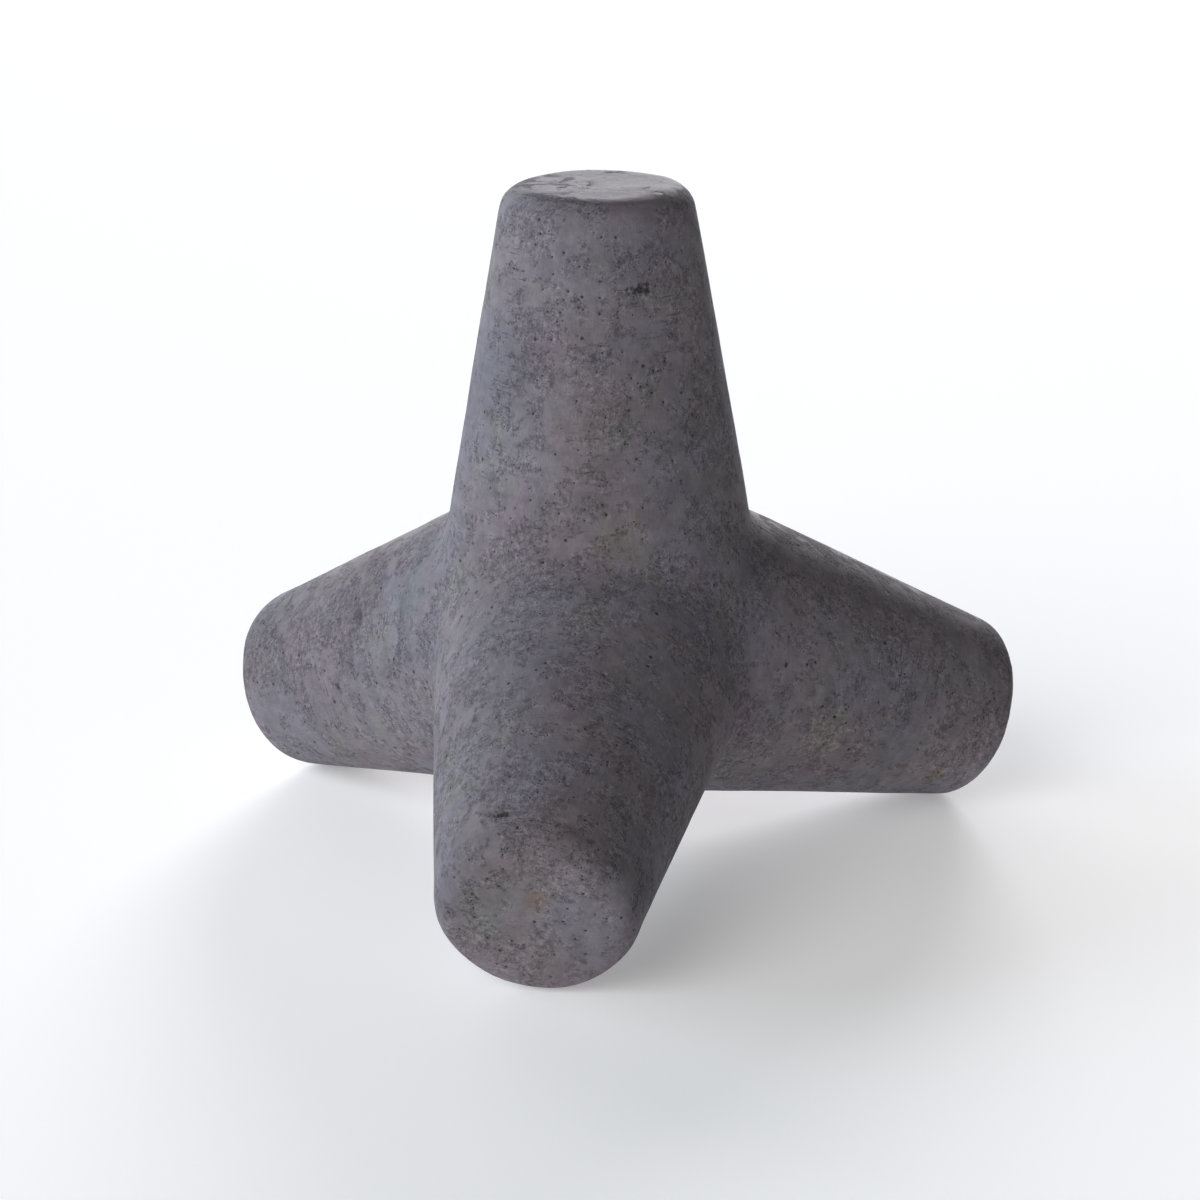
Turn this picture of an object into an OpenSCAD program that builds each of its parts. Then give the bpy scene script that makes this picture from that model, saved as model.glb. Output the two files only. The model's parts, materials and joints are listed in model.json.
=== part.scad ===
// Concrete tetrapod: an armour unit for breakwaters and sea walls, cast in one piece.
// Four round tapering legs point from the centre to the corners of a regular tetrahedron.
// It stands on three of them. Its origin is its centre, where the axes of the legs meet.

/* [Legs] */
// Length of a leg, from the centre of the unit to its flat end face
leg_l = 1184; // [900:1:1800]
// Diameter of a leg at its end face, with its sides carried out past the rounded rim
end_d = 487; // [300:1:700]
// Diameter that the same sides would have at the centre of the unit
centre_d = 901; // [720:1:1200]

/* [Edges] */
// Radius of the rounded rim around each end face
rim_r = 66; // [10:1:120]
// Size of the soft blend in the creases where two legs meet
crease_blend = 16; // [4:1:40]

/* [Smoothness] */
// Sides of the round legs
leg_sides = 144; // [48:12:240]
// Columns of facets around each leg in the blended middle
core_columns = 60; // [24:6:96]
// Rings of facets from the crease out to the plain leg
core_rings = 7; // [3:1:12]

/* [Hidden] */

// How deep the blended middle is let into each plain leg
core_bed = 12;
// How far the middle's surface lies inside the legs' own, so that the two never coincide
core_inset = 0.4;
// How far out of the crease the plain leg starts, in sizes of the blend
blend_reach = 3.5;
// How the rings crowd towards the crease: 1 is even
ring_crowding = 1.4;
// Halvings of the interval in which a point of the surface is searched for
search_steps = 32;
// Corners closer than this are the same corner
weld = 0.001;

end_r = end_d / 2;
centre_r = centre_d / 2;
// Loss of radius for each unit of length, and the same as an angle
taper = (centre_r - end_r) / leg_l;
taper_angle = atan(taper);

// Angle between any two legs
spread = acos(-1 / 3);
// Tilt off the upright and turn about it, for the upright leg and the three it stands over
leg_turns = [[0, 90], [spread, -90], [spread, 30], [spread, 150]];
// The upright leg and its neighbours, as it sees them before its turn
leg_axes = [[0, 0, 1], for (turn = [60, 180, 300]) unit_vector(spread, turn)];

// Centre of the rim's rounding, along the leg and out from its axis
rim_z = leg_l - rim_r;
rim_off = end_r + rim_r * taper - rim_r / cos(taper_angle);

// The plane between two legs: height along a leg for each unit off its axis, straight at the other
plane_rise = tan(90 - spread / 2);
// Furthest that a crease reaches along a leg, and where the plain leg takes over
crease_z = plane_rise * centre_r / (1 + plane_rise * taper);
join_z = crease_z + blend_reach * crease_blend;

function unit_vector(tilt, turn) = [sin(tilt) * cos(turn), sin(tilt) * sin(turn), cos(tilt)];
function tilted(p, a) = [p.x * cos(a) + p.z * sin(a), p.y, p.z * cos(a) - p.x * sin(a)];
function turned(p, a) = [p.x * cos(a) - p.y * sin(a), p.x * sin(a) + p.y * cos(a), p.z];

// Radius of a leg's plain sides at a height along it
function leg_r(z) = centre_r - taper * z;

// How far a point lies outside one leg, whose base is a disc at the centre of the unit
function outside_leg(p, axis) =
    let (along = p * axis, off_axis = norm(p - along * axis))
    max(-along, (off_axis - leg_r(along)) * cos(taper_angle));

// How far a point lies outside all four legs, with their creases filled in
function outside(p) =
    let (gaps = [for (axis = leg_axes) outside_leg(p, axis)])
    max(crease_blend, min(gaps)) - norm([for (gap = gaps) max(crease_blend - gap, 0)]);

// Where a line that leaves the inside at start crosses the surface of the middle
function crossing(start, way, low = 0, high = centre_d, steps = search_steps) =
    let (middle = (low + high) / 2)
    steps == 0 ? start + middle * way
    : outside(start + middle * way) < -core_inset
        ? crossing(start, way, middle, high, steps - 1)
        : crossing(start, way, low, middle, steps - 1);

// Angle from the nearest neighbouring leg, which stand at 60, 180 and 300 degrees
function from_neighbour(angle) = abs(angle % 120 - 60);

// Point of the crease in one direction around a leg
function crease_point(angle) =
    crossing([0, 0, 0], [cos(angle), sin(angle), plane_rise * cos(from_neighbour(angle))]);

// Points around a leg, ring 0 in the crease and the last one inside the plain leg
function ring_points(ring) = [
    for (column = [0:core_columns - 1])
        let (
            angle = column * 360 / core_columns,
            crease = crease_point(angle),
            share = pow(ring / core_rings, ring_crowding),
            z = crease.z + (join_z + core_bed - crease.z) * share
        )
        ring == 0 ? crease : crossing([0, 0, z], [cos(angle), sin(angle), 0])
];

// Every ring of all four legs, ring by ring, so that the shared crease points come first
core_points = [
    for (ring = [0:core_rings])
        let (points = ring_points(ring))
        for (leg = leg_turns)
            for (p = points) turned(tilted(p, leg[0]), leg[1])
];

// Two or three legs share each crease point, and all use its first copy
function first_copy(i, j = 0) =
    norm(core_points[j] - core_points[i]) < weld ? j : first_copy(i, j + 1);
crease_copies = [for (i = [0:4 * core_columns - 1]) first_copy(i)];

function corner(ring, leg, column) =
    let (i = (ring * 4 + leg) * core_columns + column % core_columns)
    ring == 0 ? crease_copies[i] : i;

core_faces = [
    for (leg = [0:3])
        for (column = [0:core_columns - 1])
            for (ring = [0:core_rings - 1])
                let (
                    a = corner(ring, leg, column),
                    b = corner(ring, leg, column + 1),
                    c = corner(ring + 1, leg, column + 1),
                    d = corner(ring + 1, leg, column)
                )
                each [[a, c, b], [a, d, c]],
    for (leg = [0:3])
        [for (column = [core_columns - 1:-1:0]) corner(core_rings, leg, column)]
];

// The middle of the unit, where the legs run into each other
module core() polyhedron(points = core_points, faces = core_faces, convexity = 6);

// Half section of a leg past the middle: straight sides, a rounded rim and a flat end
module leg_section() {
    polygon([
        [0, join_z],
        [leg_r(join_z), join_z],
        [rim_off + rim_r * cos(taper_angle), rim_z + rim_r * sin(taper_angle)],
        [rim_off, leg_l],
        [0, leg_l]
    ]);
    translate([rim_off, rim_z]) circle(r = rim_r, $fn = leg_sides);
}

module leg() rotate_extrude($fn = leg_sides) leg_section();

module tetrapod() color("dimgray") {
    core();
    for (turns = leg_turns) rotate([0, turns[0], turns[1]]) leg();
}

tetrapod();
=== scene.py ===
"""A concrete tetrapod, the armour unit of a breakwater, standing on a pale studio floor.

The one cast body is remeshed from the frame's own solid, weathered a little, and given bug holes
and rock pockets. Its concrete is one procedural material. All lengths are in metres.
"""

import json
import math
import random

import bmesh
import bpy
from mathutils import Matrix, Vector, noise


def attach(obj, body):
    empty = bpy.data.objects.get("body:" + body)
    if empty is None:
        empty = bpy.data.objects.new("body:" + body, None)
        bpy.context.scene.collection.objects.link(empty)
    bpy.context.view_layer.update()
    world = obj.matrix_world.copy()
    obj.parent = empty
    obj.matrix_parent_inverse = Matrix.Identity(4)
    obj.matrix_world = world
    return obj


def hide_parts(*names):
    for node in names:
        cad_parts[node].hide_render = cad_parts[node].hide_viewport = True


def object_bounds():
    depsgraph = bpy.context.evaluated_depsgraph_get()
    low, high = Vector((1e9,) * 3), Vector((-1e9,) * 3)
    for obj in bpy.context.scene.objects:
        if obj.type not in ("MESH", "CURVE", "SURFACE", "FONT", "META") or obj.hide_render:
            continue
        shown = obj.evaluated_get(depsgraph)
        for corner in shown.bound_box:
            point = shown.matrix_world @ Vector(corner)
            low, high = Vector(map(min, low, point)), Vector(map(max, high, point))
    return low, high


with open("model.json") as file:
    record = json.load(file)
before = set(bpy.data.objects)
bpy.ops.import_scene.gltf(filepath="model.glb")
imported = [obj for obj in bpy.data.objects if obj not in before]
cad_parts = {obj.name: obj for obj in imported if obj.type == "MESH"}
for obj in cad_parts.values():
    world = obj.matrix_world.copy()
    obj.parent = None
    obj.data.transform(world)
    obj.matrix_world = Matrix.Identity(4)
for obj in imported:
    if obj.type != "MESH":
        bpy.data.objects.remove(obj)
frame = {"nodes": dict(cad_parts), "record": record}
cad_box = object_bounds()

# ---------------------------------------------------------------- values

# The legs, from the frame: each end face's mount gives one leg's length and direction
END_FACES = [m for m in frame["record"]["mounts"] if m["kind"] == "flat_face"]
LEG_AXES = [Vector(m["axis"]).normalized() for m in END_FACES]
LEG_LENGTH = max(Vector(m["pos_m"]).length for m in END_FACES)
UPRIGHT = max(LEG_AXES, key=lambda axis: axis.z)
FLOOR_HEIGHT = cad_box[0][2]

# Surface mesh
MERGE_DISTANCE = 1e-5
MESH_SIZE = 0.0135
FAIRING_STRENGTH = 0.5
FAIRING_PASSES = 2
CREASE_FAIRING_PASSES = 8
CREASE_REACH = 0.16

# Unevenness left by the mould: (height, size of the waves)
UNDULATIONS = ((0.0016, 0.30), (0.0007, 0.075))
# Unevenness of the ends: (height, size of the waves, where along the leg it begins)
END_WEAR = (0.0045, 0.15, 0.86)

# Bug holes, the bubbles that were caught against the mould: (radius, how many, depth in radii)
BUG_HOLES = ((0.0030, 330, 0.9), (0.0040, 260, 0.9), (0.0052, 130, 0.8))
BUG_HOLE_SPACING = 0.026
# Bug holes come in crowds: (usual share, how much it varies, size of a crowd, least share)
BUG_HOLE_CROWDS = (0.5, 0.9, 0.16, 0.06)
# The share of them that stays on the upper sides, which are worn smooth
UPPER_SHARE = 0.2
# A hole is pushed in twice: (share of its radius that the inset takes, share of its depth)
BUG_HOLE_STEPS = ((0.22, 0.45), (0.35, 0.55))
# The smallest quad that still has room for a hole at its corner
BUG_HOLE_FACE = 0.4 * MESH_SIZE ** 2
POCKET_SPACING = 0.16
# Rock pockets, where the mortar did not fill between the stones: (radius, how many, depth), and
# how much longer than wide they are around the leg
ROCK_POCKETS = ((0.012, 14, 0.006), (0.018, 7, 0.008))
POCKET_LENGTHS = (1.0, 2.0)
# The finer net under a pocket: how far it reaches in radii, and the cuts across each quad
POCKET_REACH = 1.7
POCKET_CUTS = 3
# How far a pocket's edge strays: (share of the radius, size of the waves), coarse and fine
POCKET_EDGE = ((0.9, 0.014), (0.8, 0.0065))
# How uneven a pocket's floor is: (share of the depth, size of the waves)
POCKET_FLOOR = (0.6, 0.005)
# The least radius that a pocket's edge keeps where it strays inwards
SMALLEST_EDGE = 0.001
# How steep a pocket's sides are: less than 1 is steep at the edge and flat inside
POCKET_STEEPNESS = 0.7
# The one pocket that stands out, high on the front of the upright leg: its place, and its radius,
# depth and length
MAIN_POCKET = (0.143, -0.243, 0.961)
MAIN_POCKET_SHAPE = (0.025, 0.009, 2.4)

# Which way a surface faces, by its normal's height
UPPER_SIDE = 0.6
# The upright leg's top: trowelled smooth, and darkened with painted shade
TROWELLED_AND_SHADED_FROM, TROWELLED_AND_SHADED_FULLY = 0.80, 0.98
# Faces turned down get painted bounce light, at full strength from this steepness
BOUNCE_LIT_UNDERSIDE_FULLY = 0.8
# How clear of the other legs a point is before the marks along its own leg are at full strength
APART_REACH = 0.12

SEED = 41

# Concrete hues
WARM_GREY = (0.159, 0.139, 0.151, 1)
COOL_GREY = (0.149, 0.138, 0.161, 1)
OLIVE_GREY = (0.152, 0.147, 0.147, 1)
WINE_GREY = (0.157, 0.132, 0.153, 1)
# Stains: (place, radius, colour, strength, how much the skin is worn there)
STAINS = (
    ((0.109, -0.373, 0.353), 0.065, (0.160, 0.149, 0.136, 1), 0.7, 1.0),
    ((0.608, -0.040, -0.275), 0.085, (0.188, 0.172, 0.163, 1), 0.8, 1.0),
    ((0.394, -0.149, -0.316), 0.100, (0.190, 0.173, 0.172, 1), 0.7, 0.6),
    ((-0.487, -0.105, 0.091), 0.075, (0.134, 0.142, 0.153, 1), 0.7, -1.0),
    ((-0.422, -0.038, 0.225), 0.060, (0.136, 0.140, 0.152, 1), 0.6, -0.6),
    ((-0.236, -0.208, 0.778), 0.140, (0.142, 0.138, 0.167, 1), 0.6, -0.5),
    ((0.798, 0.115, -0.336), 0.080, (0.142, 0.136, 0.160, 1), 0.7, -1.0),
    ((0.887, 0.254, -0.485), 0.035, (0.150, 0.136, 0.112, 1), 0.7, 0.5),
    ((0.015, -1.139, -0.328), 0.032, (0.190, 0.144, 0.120, 1), 0.7, 0.3),
    ((-0.667, 0.035, -0.024), 0.022, (0.075, 0.066, 0.085, 1), 0.8, 0.5),
)

# Camera, by its direction from the unit's centre
CAMERA_YAW = math.radians(8.553)
CAMERA_ELEVATION = math.radians(18.2825)
CAMERA_ROLL = math.radians(-0.338)
CAMERA_DISTANCE = 8.0943 * LEG_LENGTH
CAMERA_LENS = 107.86
CAMERA_SHIFT_UP = 0.0189

# Studio: the floor's half width, lightness and glow, and the colour of the backdrop
FLOOR_REACH = 60.0
FLOOR_COLOUR = (0.82, 0.82, 0.82)
FLOOR_ROUGHNESS = 0.9
FLOOR_GLOW = 0.27
BACKDROP = (0.97, 0.98, 1.0, 1)
# Soft suns: (name, azimuth, elevation, strength, colour, softness), with the angles in degrees.
# Azimuth 0 is straight in front of the unit, and 90 to its right
SUNS = (
    ("front left", -30, 32, 1.96, (1.0, 0.99, 0.99), 50),
    ("left", -90, 10, 2.50, (0.71, 0.86, 1.0), 50),
    ("back left", -150, 10, 2.0, (0.99, 0.98, 1.0), 50),
    ("back", 180, 14, 3.0, (0.97, 0.96, 1.0), 22),
)
SUN_DISTANCE = 6.0


# ---------------------------------------------------------------- the casting

def nearest_leg(point):
    """The leg that a point belongs to: its axis, and how far out along it the point is."""
    axis = max(LEG_AXES, key=point.dot)
    return axis, point.dot(axis)


def share_between(value, low, high):
    """How far a value is on its way from low to high, from 0 to 1."""
    return min(max((value - low) / (high - low), 0.0), 1.0)


def clearance(point):
    """How much further out a point is along its own leg than along any other leg."""
    furthest = sorted(point.dot(axis) for axis in LEG_AXES)
    return furthest[-1] - furthest[-2]


def merged_copy(node):
    """A copy of a frame node as a bmesh with its loose triangles joined."""
    solid = bmesh.new()
    solid.from_mesh(node.data)
    bmesh.ops.remove_doubles(solid, verts=solid.verts, dist=MERGE_DISTANCE)
    return solid


def remeshed(solid, size):
    """The same body as an even net of small quads."""
    mesh = bpy.data.meshes.new("rough casting")
    solid.to_mesh(mesh)
    solid.free()
    body = bpy.data.objects.new("rough casting", mesh)
    bpy.context.scene.collection.objects.link(body)
    remesh = body.modifiers.new("even net", "REMESH")
    remesh.mode = "VOXEL"
    remesh.voxel_size = size
    evaluated = body.evaluated_get(bpy.context.evaluated_depsgraph_get())
    net = bmesh.new()
    net.from_mesh(evaluated.to_mesh())
    evaluated.to_mesh_clear()
    bpy.data.objects.remove(body)
    bpy.data.meshes.remove(mesh)
    return net


def fair(net):
    """Evens out the net, and softens the creases between the legs."""
    creases = [v for v in net.verts if clearance(v.co) < CREASE_REACH]
    for verts, passes in ((net.verts, FAIRING_PASSES), (creases, CREASE_FAIRING_PASSES)):
        for _ in range(passes):
            bmesh.ops.smooth_vert(net, verts=verts, factor=FAIRING_STRENGTH,
                                  use_axis_x=True, use_axis_y=True, use_axis_z=True)


def undulate(net):
    """Moves the surface in and out a little, and more at the worn ends."""
    depth, wave, start = END_WEAR
    net.normal_update()
    for vert in net.verts:
        height = sum(amount * noise.noise(vert.co / size) for amount, size in UNDULATIONS)
        out = nearest_leg(vert.co)[1] / LEG_LENGTH
        worn = share_between(out, start, 1.0)
        height += worn * depth * noise.noise(vert.co / wave)
        vert.co += height * vert.normal


def cell_of(point, size):
    """The cell of an even grid that a point is in."""
    return tuple(int(part // size) for part in point)


def spread_out(candidates, count, spacing, taken, rng):
    """Picks vertices at random that keep their distance from each other and from those taken."""
    picked = []
    for vert in rng.sample(candidates, len(candidates)):
        if len(picked) == count:
            break
        cell = cell_of(vert.co, spacing)
        near = [(cell[0] + i, cell[1] + j, cell[2] + k)
                for i in (-1, 0, 1) for j in (-1, 0, 1) for k in (-1, 0, 1)]
        if all((vert.co - other).length > spacing for n in near for other in taken.get(n, ())):
            taken.setdefault(cell, []).append(vert.co.copy())
            picked.append(vert)
    return picked


def press_rock_pockets(net, hollow, rng):
    """Ragged hollows, each in a finer net than the rest of the surface."""
    main = min(net.verts, key=lambda vert: (vert.co - Vector(MAIN_POCKET)).length)
    pockets = [(main.co.copy(), main.normal.copy(), *MAIN_POCKET_SHAPE)]
    taken = {cell_of(main.co, POCKET_SPACING): [main.co.copy()]}
    for radius, count, depth in ROCK_POCKETS:
        seeds = spread_out(list(net.verts), count, POCKET_SPACING, taken, rng)
        pockets += [(seed.co.copy(), seed.normal.copy(), radius, depth,
                     rng.uniform(*POCKET_LENGTHS)) for seed in seeds]
    for centre, normal, radius, depth, length in pockets:
        stretch = length ** 0.5
        reach = POCKET_REACH * radius * stretch
        faces = [f for f in net.faces if (f.calc_center_median() - centre).length < reach]
        edges = list(dict.fromkeys(e for f in faces for e in f.edges))
        bmesh.ops.subdivide_edges(net, edges=edges, cuts=POCKET_CUTS, use_grid_fill=True)
        around = nearest_leg(centre)[0].cross(normal).normalized()
        across = normal.cross(around)
        near = {v for e in net.edges if (e.verts[0].co - centre).length < reach for v in e.verts}
        for vert in near:
            away = vert.co - centre
            flat = math.hypot(away.dot(around) / stretch, away.dot(across) * stretch)
            stray = sum(share * noise.noise(vert.co / size) for share, size in POCKET_EDGE)
            edge = max(radius * (1 + stray), SMALLEST_EDGE)
            inside = max(1 - flat / edge, 0) ** POCKET_STEEPNESS
            uneven, size = POCKET_FLOOR
            vert.co -= normal * depth * (1 + uneven * noise.noise(vert.co / size)) * inside
            vert[hollow] = inside


def open_bug_holes(net, hollow, rng):
    """Small round holes: a vertex is cut off to an octagon, which is then pushed in twice."""
    taken = {}
    quads = [v for v in net.verts if len(v.link_faces) == 4 and v[hollow] == 0
             and all(len(f.verts) == 4 and f.calc_area() > BUG_HOLE_FACE for f in v.link_faces)]
    for radius, count, depth in BUG_HOLES:
        wanted = [v for v in quads if v.is_valid and clustered(v, rng)]
        centres = spread_out(wanted, count, BUG_HOLE_SPACING, taken, rng)
        for vert in centres:
            for face in list(vert.link_faces):
                opposite = [v for v in face.verts if v is not vert and not shares_edge(v, vert)]
                bmesh.utils.face_split(face, vert, opposite[0])
        cut = bmesh.ops.bevel(net, geom=centres, offset=radius, offset_type="OFFSET", segments=1,
                              profile=0.5, affect="VERTICES", material=-1)
        mouths = [f for f in cut["faces"] if len(f.verts) == 8]
        for share, drop in BUG_HOLE_STEPS:
            bmesh.ops.inset_individual(net, faces=mouths, thickness=share * radius,
                                       depth=-drop * depth * radius, use_even_offset=True)
        for vert in {v for f in mouths for v in f.verts}:
            vert[hollow] = 1.0


def shares_edge(a, b):
    """Whether two vertices are the ends of one edge."""
    return any(e.other_vert(a) is b for e in a.link_edges)


def clustered(vert, rng):
    """Whether a bug hole may be here: they come in crowds, with clean patches between."""
    usual, varies, size, least = BUG_HOLE_CROWDS
    crowd = max(usual + varies * noise.noise(vert.co / size), least) ** 2
    if vert.normal.z > UPPER_SIDE:
        crowd *= UPPER_SHARE
    return rng.random() < crowd


def mark_legs(net):
    """For the material: how far out along its leg a point is, where it is across the leg, how
    clear it is of the other legs, how far the upright leg's top faces up, which gets a smoother
    skin and painted shade, and how far it faces down, which gets painted bounce light."""
    along = net.verts.layers.float.new("along")
    across = net.verts.layers.float_vector.new("across")
    apart = net.verts.layers.float.new("apart")
    trowelled = net.verts.layers.float.new("trowelled")
    bounce_lit_underside = net.verts.layers.float.new("bounce_lit_underside")
    for vert in net.verts:
        axis, distance = nearest_leg(vert.co)
        vert[along] = distance
        vert[across] = vert.co - distance * axis
        vert[apart] = share_between(clearance(vert.co), 0.0, APART_REACH)
        vert[bounce_lit_underside] = share_between(-vert.normal.z, 0.0, BOUNCE_LIT_UNDERSIDE_FULLY)
        if axis == UPRIGHT:
            vert[trowelled] = share_between(vert.normal.z, TROWELLED_AND_SHADED_FROM, TROWELLED_AND_SHADED_FULLY)


def weathered_casting(node):
    """The whole tetrapod as one mesh, with its marks from casting."""
    rng = random.Random(SEED)
    net = remeshed(merged_copy(node), MESH_SIZE)
    fair(net)
    undulate(net)
    # How deep in a rock pocket or bug hole a point lies; the material darkens it with painted shade
    hollow = net.verts.layers.float.new("hollow")
    press_rock_pockets(net, hollow, rng)
    open_bug_holes(net, hollow, rng)
    mark_legs(net)
    for face in net.faces:
        face.smooth = True
    mesh = bpy.data.meshes.new("cast_body")
    net.to_mesh(mesh)
    net.free()
    body = bpy.data.objects.new("cast_body", mesh)
    bpy.context.scene.collection.objects.link(body)
    return body


# ---------------------------------------------------------------- shader node groups

class Nodes:
    """A node tree with short calls: add() makes a node, and its inputs are values or sockets."""

    def __init__(self, tree):
        self.tree = tree

    def add(self, kind, inputs=None, **settings):
        node = self.tree.nodes.new(kind)
        for name, value in settings.items():
            setattr(node, name, value)
        for name, value in (inputs or {}).items():
            if isinstance(value, bpy.types.NodeSocket):
                self.tree.links.new(value, node.inputs[name])
            else:
                node.inputs[name].default_value = value
        return node

    def math(self, operation, *values):
        numbered = dict(enumerate(values))
        return self.add("ShaderNodeMath", numbered, operation=operation).outputs[0]

    def ramp(self, value, low, high, to_low=0.0, to_high=1.0):
        inputs = {"Value": value, "From Min": low, "From Max": high,
                  "To Min": to_low, "To Max": to_high}
        node = self.add("ShaderNodeMapRange", inputs, interpolation_type="SMOOTHSTEP")
        return node.outputs["Result"]

    def grey(self, value):
        node = self.add("ShaderNodeCombineColor", {"Red": value, "Green": value, "Blue": value})
        return node.outputs["Color"]

    def mix(self, share, a, b, blend="MIX"):
        node = self.add("ShaderNodeMix", data_type="RGBA", blend_type=blend)
        for name, value in (("Factor_Float", share), ("A_Color", a), ("B_Color", b)):
            socket = next(s for s in node.inputs if s.identifier == name)
            if isinstance(value, bpy.types.NodeSocket):
                self.tree.links.new(value, socket)
            else:
                socket.default_value = value
        return next(s for s in node.outputs if s.identifier == "Result_Color")

    def group(self, tree, output, **inputs):
        node = self.tree.nodes.new("ShaderNodeGroup")
        node.node_tree = tree
        for name, value in inputs.items():
            socket = node.inputs[name.replace("_", " ").capitalize()]
            if isinstance(value, bpy.types.NodeSocket):
                self.tree.links.new(value, socket)
            else:
                socket.default_value = value
        return node.outputs[output]


def new_group(name, inputs, outputs):
    """An empty node group with named sockets, and its input and output nodes."""
    tree = bpy.data.node_groups.new(name, "ShaderNodeTree")
    for socket, kind, default in inputs:
        made = tree.interface.new_socket(socket, in_out="INPUT", socket_type=kind)
        if default is not None:
            made.default_value = default
    for socket, kind in outputs:
        tree.interface.new_socket(socket, in_out="OUTPUT", socket_type=kind)
    return Nodes(tree), tree.nodes.new("NodeGroupInput"), tree.nodes.new("NodeGroupOutput")


FLOAT = "NodeSocketFloat"
VECTOR = "NodeSocketVector"


def clouds_group():
    """Soft patches: fractal noise with its contrast set by a low and a high threshold."""
    inputs = (("Vector", VECTOR, None), ("Size", FLOAT, 0.1), ("Detail", FLOAT, 4.0),
              ("Roughness", FLOAT, 0.55), ("Warp", FLOAT, 0.3), ("Low", FLOAT, 0.4),
              ("High", FLOAT, 0.6), ("Shift", FLOAT, 0.0))
    nodes, given, made = new_group("Clouds", inputs, (("Mask", FLOAT),))
    scale = nodes.math("DIVIDE", 1.0, given.outputs["Size"])
    shifted = nodes.add("ShaderNodeVectorMath",
                        {0: given.outputs["Vector"], 1: given.outputs["Shift"]}, operation="ADD")
    field = nodes.add("ShaderNodeTexNoise", {
        "Vector": shifted.outputs["Vector"], "Scale": scale,
        "Detail": given.outputs["Detail"], "Roughness": given.outputs["Roughness"],
        "Distortion": given.outputs["Warp"]})
    mask = nodes.ramp(field.outputs["Fac"], given.outputs["Low"], given.outputs["High"])
    nodes.tree.links.new(mask, made.inputs["Mask"])
    return nodes.tree


def pores_group():
    """Round dots of one size, in a share of the cells of a scattered pattern."""
    inputs = (("Vector", VECTOR, None), ("Spacing", FLOAT, 0.02), ("Radius", FLOAT, 0.003),
              ("Share", FLOAT, 0.3))
    nodes, given, made = new_group("Pores", inputs, (("Mask", FLOAT),))
    spacing = given.outputs["Spacing"]
    cells = nodes.add("ShaderNodeTexVoronoi", {
        "Vector": given.outputs["Vector"], "Scale": nodes.math("DIVIDE", 1.0, spacing)},
        feature="F1")
    away = nodes.math("MULTIPLY", cells.outputs["Distance"], spacing)
    hue = nodes.add("ShaderNodeSeparateColor", {"Color": cells.outputs["Color"]})
    radius = nodes.math("MULTIPLY", given.outputs["Radius"],
                        nodes.ramp(hue.outputs["Green"], 0.0, 1.0, 0.5, 1.3))
    dot = nodes.ramp(nodes.math("DIVIDE", away, radius), 0.55, 1.0, 1.0, 0.0)
    chosen = nodes.math("LESS_THAN", hue.outputs["Red"], given.outputs["Share"])
    nodes.tree.links.new(nodes.math("MULTIPLY", dot, chosen), made.inputs["Mask"])
    return nodes.tree


def stain_group():
    """A round stain at one place, with a frayed edge."""
    inputs = (("Vector", VECTOR, None), ("Fray", FLOAT, 0.5), ("Centre", VECTOR, None),
              ("Radius", FLOAT, 0.1), ("Strength", FLOAT, 1.0))
    nodes, given, made = new_group("Stain", inputs, (("Mask", FLOAT),))
    away = nodes.add("ShaderNodeVectorMath",
                     {0: given.outputs["Vector"], 1: given.outputs["Centre"]},
                     operation="DISTANCE")
    reach = nodes.math("DIVIDE", away.outputs["Value"], given.outputs["Radius"])
    reach = nodes.math("ADD", reach, nodes.math("MULTIPLY", given.outputs["Fray"], 1.6))
    mask = nodes.math("MULTIPLY", nodes.ramp(reach, 1.3, 2.1, 1.0, 0.0), given.outputs["Strength"])
    nodes.tree.links.new(mask, made.inputs["Mask"])
    return nodes.tree


# ---------------------------------------------------------------- concrete

class ConcreteNodes(Nodes):
    """The concrete's own nodes, with the patterns and the marks on the mesh that they share."""

    def __init__(self, tree):
        super().__init__(tree)
        self.clouds, self.pores, self.stains = clouds_group(), pores_group(), stain_group()
        self.place = self.add("ShaderNodeTexCoord").outputs["Object"]
        self.along, self.apart, self.hollow = map(self.mark, ("along", "apart", "hollow"))
        self.trowelled, self.bounce_lit_underside = map(self.mark, ("trowelled", "bounce_lit_underside"))
        self.across = self.mark("across", "Vector")

    def mark(self, name, output="Fac"):
        return self.add("ShaderNodeAttribute", attribute_name=name).outputs[output]

    def patch(self, **values):
        return self.group(self.clouds, "Mask", vector=self.place, **values)

    def dots(self, **values):
        return self.group(self.pores, "Mask", vector=self.place, **values)

    def leg_noise(self, vector, pace, scale, detail, warp=0.0):
        """Noise that changes along the leg at a pace of its own: fast for rings, slow for lines."""
        inputs = {"Vector": vector, "W": self.math("MULTIPLY", self.along, pace), "Scale": scale,
                  "Detail": detail, "Roughness": 0.6, "Distortion": warp}
        node = self.add("ShaderNodeTexNoise", inputs, noise_dimensions="4D")
        return node.outputs["Fac"]

    def scaled(self, colour, value, low, high):
        """The colour, made darker or lighter from low to high as the value goes from 0 to 1."""
        shade = self.grey(self.ramp(value, 0.0, 1.0, low, high))
        return self.mix(1.0, colour, shade, "MULTIPLY")


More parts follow.
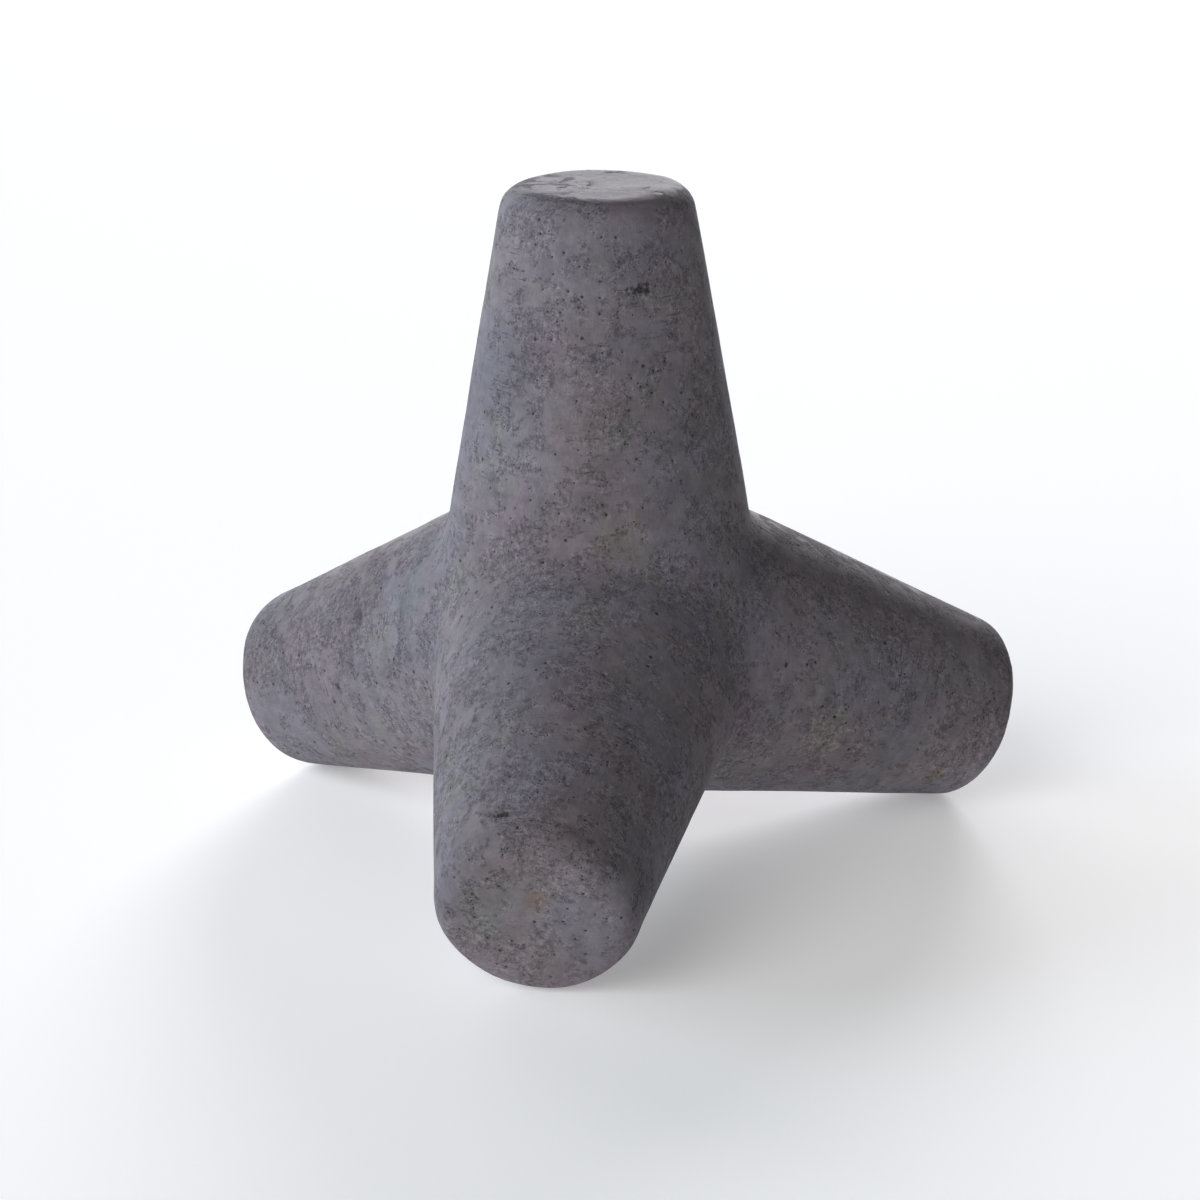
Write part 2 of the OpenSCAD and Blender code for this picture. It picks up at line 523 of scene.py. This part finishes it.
def stained_hue(nodes):
    """Mauve-grey, with cooler, olive and wine-grey patches and the named stains. Also gives how
    much more or less the skin is worn in the creases, on the trowelled face and at each stain."""
    colour = nodes.mix(nodes.patch(size=0.36, low=0.38, high=0.62, shift=1.0),
                       WARM_GREY, COOL_GREY)
    colour = nodes.mix(nodes.patch(size=0.20, detail=5.0, low=0.52, high=0.70, shift=7.0),
                       colour, OLIVE_GREY)
    colour = nodes.mix(nodes.patch(size=0.24, detail=5.0, low=0.52, high=0.70, shift=12.0),
                       colour, WINE_GREY)
    fray = nodes.patch(size=0.035, detail=6.0, roughness=0.7, low=0.2, high=0.8, shift=21.0)
    # The top was trowelled smooth through the opening of the mould, and the creases are sandy
    wear = nodes.math("MULTIPLY", nodes.trowelled, -0.6)
    wear = nodes.math("ADD", wear, nodes.ramp(nodes.apart, 0.0, 1.0, 0.35, 0.0))
    for centre, radius, tint, strength, scoured in STAINS:
        stain = nodes.group(nodes.stains, "Mask", vector=nodes.place, fray=fray, centre=centre,
                            radius=radius, strength=strength)
        colour = nodes.mix(stain, colour, tint)
        wear = nodes.math("MULTIPLY_ADD", stain, scoured, wear)
    return colour, wear


def clouded(nodes, colour, mottle):
    """Faint broad clouds and mottling, sparse dark blots, painted shade that darkens the top face,
    and painted bounce light that lightens the faces turned down.
    """
    clouds = nodes.patch(size=0.30, detail=3.0, low=0.3, high=0.7, shift=3.0)
    colour = nodes.scaled(colour, clouds, 0.93, 1.07)
    colour = nodes.scaled(colour, mottle, 0.89, 1.11)
    blot = nodes.patch(size=0.070, detail=8.0, roughness=0.70, warp=0.8, low=0.57, high=0.78,
                       shift=5.0)
    rough_cast = nodes.math("MULTIPLY_ADD", nodes.trowelled, -0.7, 1.0)
    colour = nodes.scaled(colour, nodes.math("MULTIPLY", blot, rough_cast), 1.0, 0.55)
    # Painted shade: the upward-facing top of the upright leg is made darker
    colour = nodes.scaled(colour, nodes.trowelled, 1.0, 0.66)
    # Painted bounce light: faces turned down are made lighter
    return nodes.scaled(colour, nodes.bounce_lit_underside, 1.0, 1.22)


def worn_off(nodes, wear):
    """Where the skin is worn off down to the sand, in broad and small patches."""
    broad = nodes.patch(size=0.20, detail=2.0, low=0.36, high=0.64, shift=8.0)
    small = nodes.patch(size=0.060, detail=5.0, roughness=0.60, low=0.46, high=0.55, shift=9.0)
    return nodes.ramp(nodes.math("ADD", nodes.math("ADD", small, broad), wear), 0.45, 1.35)


def sanded(nodes, colour, worn, grain, gravel):
    """Sandy grain where the skin is worn off, and nearly none where it is still closed."""
    sand = nodes.math("SUBTRACT", grain, 0.5)
    sand = nodes.math("ADD", sand, nodes.math("SUBTRACT", gravel, 0.5))
    sand = nodes.math("MULTIPLY", sand, nodes.ramp(worn, 0.0, 1.0, 0.14, 1.0))
    shade = nodes.ramp(sand, -0.8, 0.8, 0.43, 1.57)
    return nodes.mix(1.0, colour, nodes.grey(shade), "MULTIPLY"), sand


def pitted(nodes, colour, worn, grain):
    """Small pits in the worn skin, with a pale lip, larger pores, and painted shade in all hollows.
    """
    pit = nodes.math("MULTIPLY", worn, nodes.dots(spacing=0.0125, radius=0.0030, share=0.50))
    lip = nodes.math("MULTIPLY", worn, nodes.dots(spacing=0.0125, radius=0.0046, share=0.50))
    pits = nodes.math("MAXIMUM", pit, nodes.dots(spacing=0.030, radius=0.0048, share=0.25))
    colour = nodes.scaled(colour, lip, 1.0, 1.22)
    # Painted shade darkens the pits, pores, bug holes and rock pockets
    ragged_hollow_shade = nodes.math("MULTIPLY", nodes.hollow, nodes.math("ADD", grain, 0.6))
    painted_hollow_shade = nodes.math("MAXIMUM", pits, nodes.ramp(ragged_hollow_shade, 0.15, 1.0))
    return nodes.scaled(colour, painted_hollow_shade, 1.0, 0.28), pits


def poured(nodes, colour, gravel):
    """Bands and streaks around the legs, left by the layers of the pour, and lines along them."""
    bands = nodes.leg_noise(nodes.place, pace=6.0, scale=5.0, detail=3.0)
    bands = nodes.math("MULTIPLY", nodes.math("SUBTRACT", bands, 0.5), nodes.apart)
    colour = nodes.scaled(colour, nodes.math("MULTIPLY_ADD", bands, 2.0, 0.5), 0.92, 1.08)
    layers = nodes.leg_noise(nodes.place, pace=8.0, scale=20.0, detail=2.0, warp=0.4)
    layered = nodes.patch(size=0.16, detail=4.0, low=0.48, high=0.60, shift=15.0)
    layered = nodes.math("MULTIPLY", layered, nodes.ramp(nodes.apart, 0.6, 1.0))
    layered = nodes.math("MULTIPLY", layered, nodes.ramp(gravel, 0.25, 0.60))
    streak = nodes.math("MULTIPLY", nodes.ramp(layers, 0.55, 0.67), layered)
    colour = nodes.scaled(colour, streak, 1.0, 0.50)
    lines = nodes.leg_noise(nodes.across, pace=0.06, scale=220.0, detail=2.0)
    lines = nodes.math("MULTIPLY", nodes.math("SUBTRACT", lines, 0.5), nodes.apart)
    return nodes.scaled(colour, nodes.math("ADD", lines, 0.5), 0.83, 1.17), streak


def concrete():
    """Dark mauve-grey cast concrete: patches of hue, worn sandy skin, pits, pores and streaks, with
    painted shade in the hollows and on the top face, and painted bounce light on the undersides.
    """
    material = bpy.data.materials.new("weathered concrete")
    material.use_nodes = True
    nodes = ConcreteNodes(material.node_tree)
    mottle = nodes.patch(size=0.045, detail=6.0, roughness=0.62, low=0.30, high=0.70, shift=4.0)
    grain = nodes.patch(size=0.0060, detail=4.0, roughness=0.80, warp=0.0, low=0.25, high=0.75)
    gravel = nodes.patch(size=0.0150, detail=2.0, roughness=0.60, warp=0.0, low=0.10, high=0.90,
                         shift=2.0)
    colour, wear = stained_hue(nodes)
    worn = worn_off(nodes, wear)
    colour = clouded(nodes, colour, mottle)
    colour, sand = sanded(nodes, colour, worn, grain, gravel)
    colour, pits = pitted(nodes, colour, worn, grain)
    colour, streak = poured(nodes, colour, gravel)

    height = nodes.math("SUBTRACT", nodes.math("MULTIPLY", sand, 0.7),
                        nodes.math("MULTIPLY", pits, 1.2))
    height = nodes.math("ADD", height, nodes.math("MULTIPLY", mottle, 0.4))
    height = nodes.math("SUBTRACT", height, nodes.math("MULTIPLY", streak, 0.5))
    bump = nodes.add("ShaderNodeBump", {"Height": height, "Distance": 0.0022, "Strength": 0.8})
    shader = nodes.tree.nodes["Principled BSDF"]
    nodes.tree.links.new(colour, shader.inputs["Base Color"])
    nodes.tree.links.new(nodes.ramp(worn, 0.0, 1.0, 0.76, 0.93), shader.inputs["Roughness"])
    nodes.tree.links.new(bump.outputs["Normal"], shader.inputs["Normal"])
    shader.inputs["Specular IOR Level"].default_value = 0.35
    return material


# ---------------------------------------------------------------- studio

def plain(name, colour, roughness, glow):
    """A dull material of one colour, with a faint white glow."""
    material = bpy.data.materials.new(name)
    material.use_nodes = True
    shader = material.node_tree.nodes["Principled BSDF"]
    shader.inputs["Base Color"].default_value = (*colour, 1)
    shader.inputs["Roughness"].default_value = roughness
    shader.inputs["Specular IOR Level"].default_value = 0.1
    shader.inputs["Emission Color"].default_value = (1, 1, 1, 1)
    shader.inputs["Emission Strength"].default_value = glow
    return material


def studio_floor():
    square = bmesh.new()
    bmesh.ops.create_grid(square, x_segments=1, y_segments=1, size=FLOOR_REACH)
    bmesh.ops.translate(square, verts=square.verts, vec=(0, 0, FLOOR_HEIGHT))
    mesh = bpy.data.meshes.new("studio_floor")
    square.to_mesh(mesh)
    square.free()
    floor = bpy.data.objects.new("studio_floor", mesh)
    bpy.context.scene.collection.objects.link(floor)
    mesh.materials.append(plain("pale floor", FLOOR_COLOUR, FLOOR_ROUGHNESS, FLOOR_GLOW))
    return floor


def soft_sun(name, azimuth, elevation, strength, colour, softness):
    """A distant soft light, turned towards the unit."""
    light = bpy.data.lights.new(name, "SUN")
    light.energy = strength
    light.color = colour
    light.angle = math.radians(softness)
    lamp = bpy.data.objects.new(name, light)
    yaw, rise = math.radians(azimuth), math.radians(elevation)
    towards = Vector((math.sin(yaw) * math.cos(rise), -math.cos(yaw) * math.cos(rise),
                      math.sin(rise)))
    lamp.rotation_euler = towards.to_track_quat("Z", "Y").to_euler()
    lamp.location = SUN_DISTANCE * towards
    bpy.context.scene.collection.objects.link(lamp)


def studio_light():
    world = bpy.data.worlds.new("studio")
    bpy.context.scene.world = world
    world.use_nodes = True
    background = world.node_tree.nodes["Background"]
    background.inputs["Color"].default_value = BACKDROP
    # The pale backdrop is only seen, and sheds no light
    seen = world.node_tree.nodes.new("ShaderNodeLightPath").outputs["Is Camera Ray"]
    world.node_tree.links.new(seen, background.inputs["Strength"])
    for sun in SUNS:
        soft_sun(*sun)


def camera():
    direction = Vector((math.sin(CAMERA_YAW) * math.cos(CAMERA_ELEVATION),
                        -math.cos(CAMERA_YAW) * math.cos(CAMERA_ELEVATION),
                        math.sin(CAMERA_ELEVATION)))
    lens = bpy.data.cameras.new("camera")
    lens.lens = CAMERA_LENS
    lens.sensor_width = 36.0
    lens.shift_y = CAMERA_SHIFT_UP
    lens.clip_end = 200.0
    eye = bpy.data.objects.new("camera", lens)
    eye.location = CAMERA_DISTANCE * direction
    eye.rotation_euler = direction.to_track_quat("Z", "Y").to_euler()
    eye.rotation_euler.rotate_axis("Z", CAMERA_ROLL)
    bpy.context.scene.collection.objects.link(eye)
    bpy.context.scene.camera = eye


# ---------------------------------------------------------------- assembly

body = weathered_casting(frame["nodes"]["tetrapod"])
body.data.materials.append(concrete())
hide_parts("tetrapod")
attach(body, "root")

studio_floor()
studio_light()
camera()
bpy.context.scene.view_settings.view_transform = "Standard"
